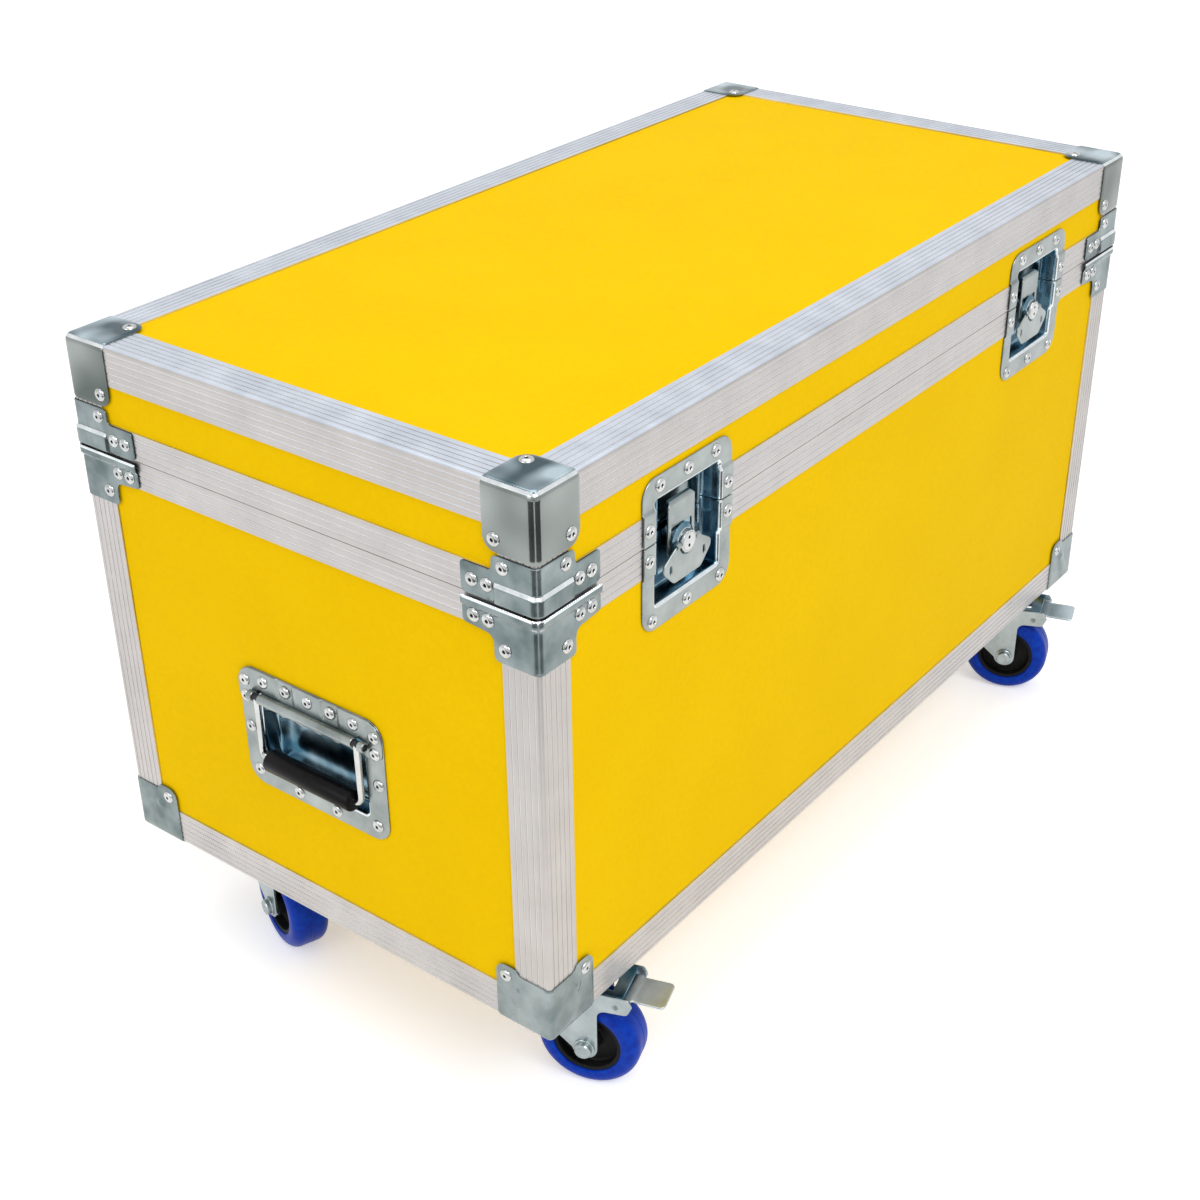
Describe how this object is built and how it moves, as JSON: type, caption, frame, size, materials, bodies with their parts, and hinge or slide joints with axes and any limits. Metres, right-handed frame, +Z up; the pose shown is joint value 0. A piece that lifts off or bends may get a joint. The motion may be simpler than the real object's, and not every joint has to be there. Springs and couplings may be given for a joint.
{
  "type": "flight case",
  "caption": "Rectangular flight case on swivel castors with a hinged lid, recessed butterfly latches, recessed drop handles, aluminium edging and steel corners.",
  "frame": {"origin": "on the floor, under the middle of the whole part's box", "axes": "+X along the length, towards the end that the picture hides; the front, with the latches, faces -Y; +Z up"},
  "size_m": [0.8472, 0.4644, 0.5331],
  "materials": {
    "laminate": "plywood with a satin yellow plastic laminate",
    "edging": "anodised extrusion, ribbed, satin",
    "polished_steel": "pressed steel, polished",
    "plated_steel": "pressed steel, bright zinc plate",
    "rivet": "domed pop rivets",
    "castor_steel": "pressed steel, dull zinc plate",
    "grip": "moulded black rubber",
    "wheel_centre": "moulded black nylon",
    "tyre": "blue elastic rubber, smooth"
  },
  "bodies": {
    "case_base": {"front_panel": "laminate", "back_panel": "laminate", "end_panels": "laminate", "floor_panel": "laminate", "corner_posts": "edging", "bottom_edging": "edging", "base_closing_frame": "edging", "bottom_corners": "plated_steel", "base_brace_corners": "plated_steel", "base_rivets": "rivet", "latch_base_dishes": "plated_steel", "latch_housings": "plated_steel", "handle_dishes": "plated_steel", "handle_hinge_plates": "plated_steel", "hinge_base_leaves": "plated_steel", "hinge_pins": "castor_steel", "castor_plates": "castor_steel", "castor_bolts": "castor_steel"},
    "lid": {"lid_top_panel": "laminate", "lid_front_panel": "laminate", "lid_back_panel": "laminate", "lid_end_panels": "laminate", "top_edging": "edging", "lid_corner_posts": "edging", "lid_closing_frame": "edging", "top_corners": "polished_steel", "lid_brace_corners": "plated_steel", "lid_rivets": "rivet", "latch_lid_dishes": "plated_steel", "latch_keepers": "plated_steel", "hinge_lid_leaves": "plated_steel"},
    "latch_left_spindle": {"latch_left_spindle": "plated_steel"},
    "latch_left_wing": {"latch_left_wing": "plated_steel"},
    "latch_left_hook": {"latch_left_hook": "plated_steel"},
    "latch_right_spindle": {"latch_right_spindle": "plated_steel"},
    "latch_right_wing": {"latch_right_wing": "plated_steel"},
    "latch_right_hook": {"latch_right_hook": "plated_steel"},
    "handle_left": {"handle_left_bail": "plated_steel", "handle_left_grip": "grip"},
    "handle_right": {"handle_right_bail": "plated_steel", "handle_right_grip": "grip"},
    "castor_front_left": {"castor_front_left_fork": "castor_steel", "castor_front_left_axle": "castor_steel"},
    "wheel_front_left": {"castor_front_left_hub": "wheel_centre", "castor_front_left_tyre": "tyre"},
    "brake_left": {"brake_left_pedal": "castor_steel"},
    "castor_front_right": {"castor_front_right_fork": "castor_steel", "castor_front_right_axle": "castor_steel"},
    "wheel_front_right": {"castor_front_right_hub": "wheel_centre", "castor_front_right_tyre": "tyre"},
    "brake_right": {"brake_right_pedal": "castor_steel"},
    "castor_back_left": {"castor_back_left_fork": "castor_steel", "castor_back_left_axle": "castor_steel"},
    "wheel_back_left": {"castor_back_left_hub": "wheel_centre", "castor_back_left_tyre": "tyre"},
    "castor_back_right": {"castor_back_right_fork": "castor_steel", "castor_back_right_axle": "castor_steel"},
    "wheel_back_right": {"castor_back_right_hub": "wheel_centre", "castor_back_right_tyre": "tyre"}
  },
  "joints": [
    {"name": "lid_hinge", "type": "hinge", "parent": "case_base", "child": "lid", "pos_m": [0, 0.22724, 0.448], "axis": [-1, 0, 0], "range_deg": [0, 95]},
    {"name": "latch_left_turn", "type": "hinge", "parent": "case_base", "child": "latch_left_spindle", "pos_m": [-0.255, -0.20076, 0.433], "axis": [0, 1, 0], "range_deg": [0, 180]},
    {"name": "latch_left_wing_fold", "type": "hinge", "parent": "latch_left_spindle", "child": "latch_left_wing", "pos_m": [-0.255, -0.20016, 0.433], "axis": [-1, 0, 0], "range_deg": [0, 90]},
    {"name": "latch_left_pull", "type": "slide", "parent": "case_base", "child": "latch_left_hook", "axis": [0, 0.3198, -0.9475], "range_m": [0, 0.00844]},
    {"name": "latch_right_turn", "type": "hinge", "parent": "case_base", "child": "latch_right_spindle", "pos_m": [0.255, -0.20076, 0.433], "axis": [0, 1, 0], "range_deg": [0, 180]},
    {"name": "latch_right_wing_fold", "type": "hinge", "parent": "latch_right_spindle", "child": "latch_right_wing", "pos_m": [0.255, -0.20016, 0.433], "axis": [-1, 0, 0], "range_deg": [0, 90]},
    {"name": "latch_right_pull", "type": "slide", "parent": "case_base", "child": "latch_right_hook", "axis": [0, 0.3198, -0.9475], "range_m": [0, 0.00844]},
    {"name": "handle_left_swing", "type": "hinge", "parent": "case_base", "child": "handle_left", "pos_m": [-0.41515, 0.01024, 0.2925], "axis": [0, 1, 0], "range_deg": [0, 90]},
    {"name": "handle_right_swing", "type": "hinge", "parent": "case_base", "child": "handle_right", "pos_m": [0.41515, 0.01024, 0.2925], "axis": [0, -1, 0], "range_deg": [0, 90]},
    {"name": "castor_front_left_swivel", "type": "hinge", "parent": "case_base", "child": "castor_front_left", "pos_m": [-0.339, -0.13576, 0.108], "axis": [0, 0, 1], "continuous": true},
    {"name": "wheel_front_left_roll", "type": "hinge", "parent": "castor_front_left", "child": "wheel_front_left", "pos_m": [-0.32726, -0.1719, 0.04], "axis": [0.9511, 0.309, 0], "continuous": true},
    {"name": "brake_left_press", "type": "hinge", "parent": "castor_front_left", "child": "brake_left", "pos_m": [-0.31984, -0.19472, 0.086], "axis": [0.9511, 0.309, 0], "range_deg": [0, 12]},
    {"name": "castor_front_right_swivel", "type": "hinge", "parent": "case_base", "child": "castor_front_right", "pos_m": [0.339, -0.13576, 0.108], "axis": [0, 0, 1], "continuous": true},
    {"name": "wheel_front_right_roll", "type": "hinge", "parent": "castor_front_right", "child": "wheel_front_right", "pos_m": [0.35074, -0.1719, 0.04], "axis": [0.9511, 0.309, 0], "continuous": true},
    {"name": "brake_right_press", "type": "hinge", "parent": "castor_front_right", "child": "brake_right", "pos_m": [0.35816, -0.19472, 0.086], "axis": [0.9511, 0.309, 0], "range_deg": [0, 12]},
    {"name": "castor_back_left_swivel", "type": "hinge", "parent": "case_base", "child": "castor_back_left", "pos_m": [-0.339, 0.15624, 0.108], "axis": [0, 0, 1], "continuous": true},
    {"name": "wheel_back_left_roll", "type": "hinge", "parent": "castor_back_left", "child": "wheel_back_left", "pos_m": [-0.352, 0.12054, 0.04], "axis": [0.9397, -0.342, 0], "continuous": true},
    {"name": "castor_back_right_swivel", "type": "hinge", "parent": "case_base", "child": "castor_back_right", "pos_m": [0.339, 0.15624, 0.108], "axis": [0, 0, 1], "continuous": true},
    {"name": "wheel_back_right_roll", "type": "hinge", "parent": "castor_back_right", "child": "wheel_back_right", "pos_m": [0.3456, 0.11882, 0.04], "axis": [0.9848, 0.1736, 0], "continuous": true}
  ],
  "couplings": [
    {"joint": "latch_left_pull", "follows": "latch_left_turn", "m_per_rad": 0.0026876},
    {"joint": "latch_right_pull", "follows": "latch_right_turn", "m_per_rad": 0.0026876}
  ]
}
